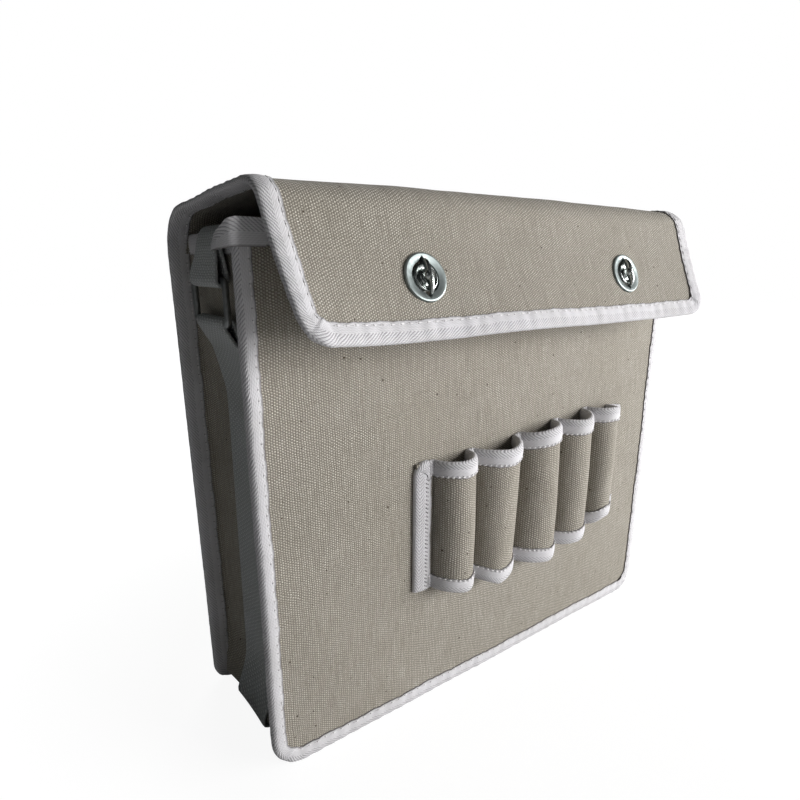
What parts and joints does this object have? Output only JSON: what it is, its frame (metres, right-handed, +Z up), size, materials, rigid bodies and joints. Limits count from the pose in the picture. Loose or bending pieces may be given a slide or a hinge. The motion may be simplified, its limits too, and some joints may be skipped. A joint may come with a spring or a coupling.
{
  "type": "tool bag",
  "caption": "Boxy canvas shoulder tool bag with a turn-lock flap, a row of tool loops on the front, and a webbing strap on wire rings.",
  "frame": {"origin": "on the surface that the bag stands on, under the middle of its overall width and depth", "axes": "+X to the right as seen from the front, along the width; +Y from front to back; +Z up"},
  "size_m": [0.32, 0.1292, 0.2963],
  "materials": {
    "canvas": "natural undyed heavy canvas, plain weave with dark seed flecks",
    "edge_tape": "white herringbone cotton tape with a stitched edge",
    "webbing": "white flat-woven webbing",
    "nickel": "bright nickel plate on pressed steel and wire"
  },
  "bodies": {
    "bag": {"front_panel": "canvas", "back_panel": "canvas", "gusset": "canvas", "front_binding": "edge_tape", "back_binding": "edge_tape", "mouth_tape": "edge_tape", "gusset_top_tape_left": "edge_tape", "gusset_top_tape_right": "edge_tape", "tool_loop_strip": "canvas", "loop_top_tape": "edge_tape", "loop_bottom_tape": "edge_tape", "loop_end_tape": "edge_tape", "load_strap": "webbing", "shoulder_strap": "webbing", "strap_slider": "nickel", "lock_base_left": "nickel", "lock_base_right": "nickel", "lock_backing_left": "nickel", "lock_backing_right": "nickel"},
    "ring_left": {"strap_ring_left": "nickel", "strap_end_left": "webbing"},
    "ring_right": {"strap_ring_right": "nickel", "strap_end_right": "webbing"},
    "button_left": {"turn_button_left": "nickel"},
    "button_right": {"turn_button_right": "nickel"},
    "flap_cover": {"flap_top": "canvas", "flap_top_binding": "edge_tape"},
    "flap_front": {"flap_drop": "canvas", "flap_drop_binding": "edge_tape", "lock_eyelet_left": "nickel", "lock_eyelet_right": "nickel", "eyelet_washer_left": "nickel", "eyelet_washer_right": "nickel"}
  },
  "joints": [
    {"name": "flap_fold", "type": "hinge", "parent": "bag", "child": "flap_cover", "pos_m": [0, 0.05968, 0.28494], "axis": [-1, 0, 0], "range_deg": [0, 178]},
    {"name": "flap_ridge", "type": "hinge", "parent": "flap_cover", "child": "flap_front", "pos_m": [0, -0.03653, 0.29525], "axis": [-1, 0, 0], "range_deg": [0, 160]},
    {"name": "ring_swing_left", "type": "hinge", "parent": "bag", "child": "ring_left", "pos_m": [-0.1539, 0.02061, 0.234], "axis": [0, -1, 0], "range_deg": [0, 165]},
    {"name": "ring_swing_right", "type": "hinge", "parent": "bag", "child": "ring_right", "pos_m": [0.1539, 0.02061, 0.234], "axis": [0, 1, 0], "range_deg": [0, 165]},
    {"name": "button_turn_left", "type": "hinge", "parent": "bag", "child": "button_left", "pos_m": [-0.0785, -0.04558, 0.25296], "axis": [0, -0.9272, 0.3746], "range_deg": [0, 90]},
    {"name": "button_turn_right", "type": "hinge", "parent": "bag", "child": "button_right", "pos_m": [0.0785, -0.04558, 0.25296], "axis": [0, -0.9272, 0.3746], "range_deg": [0, 90]}
  ]
}
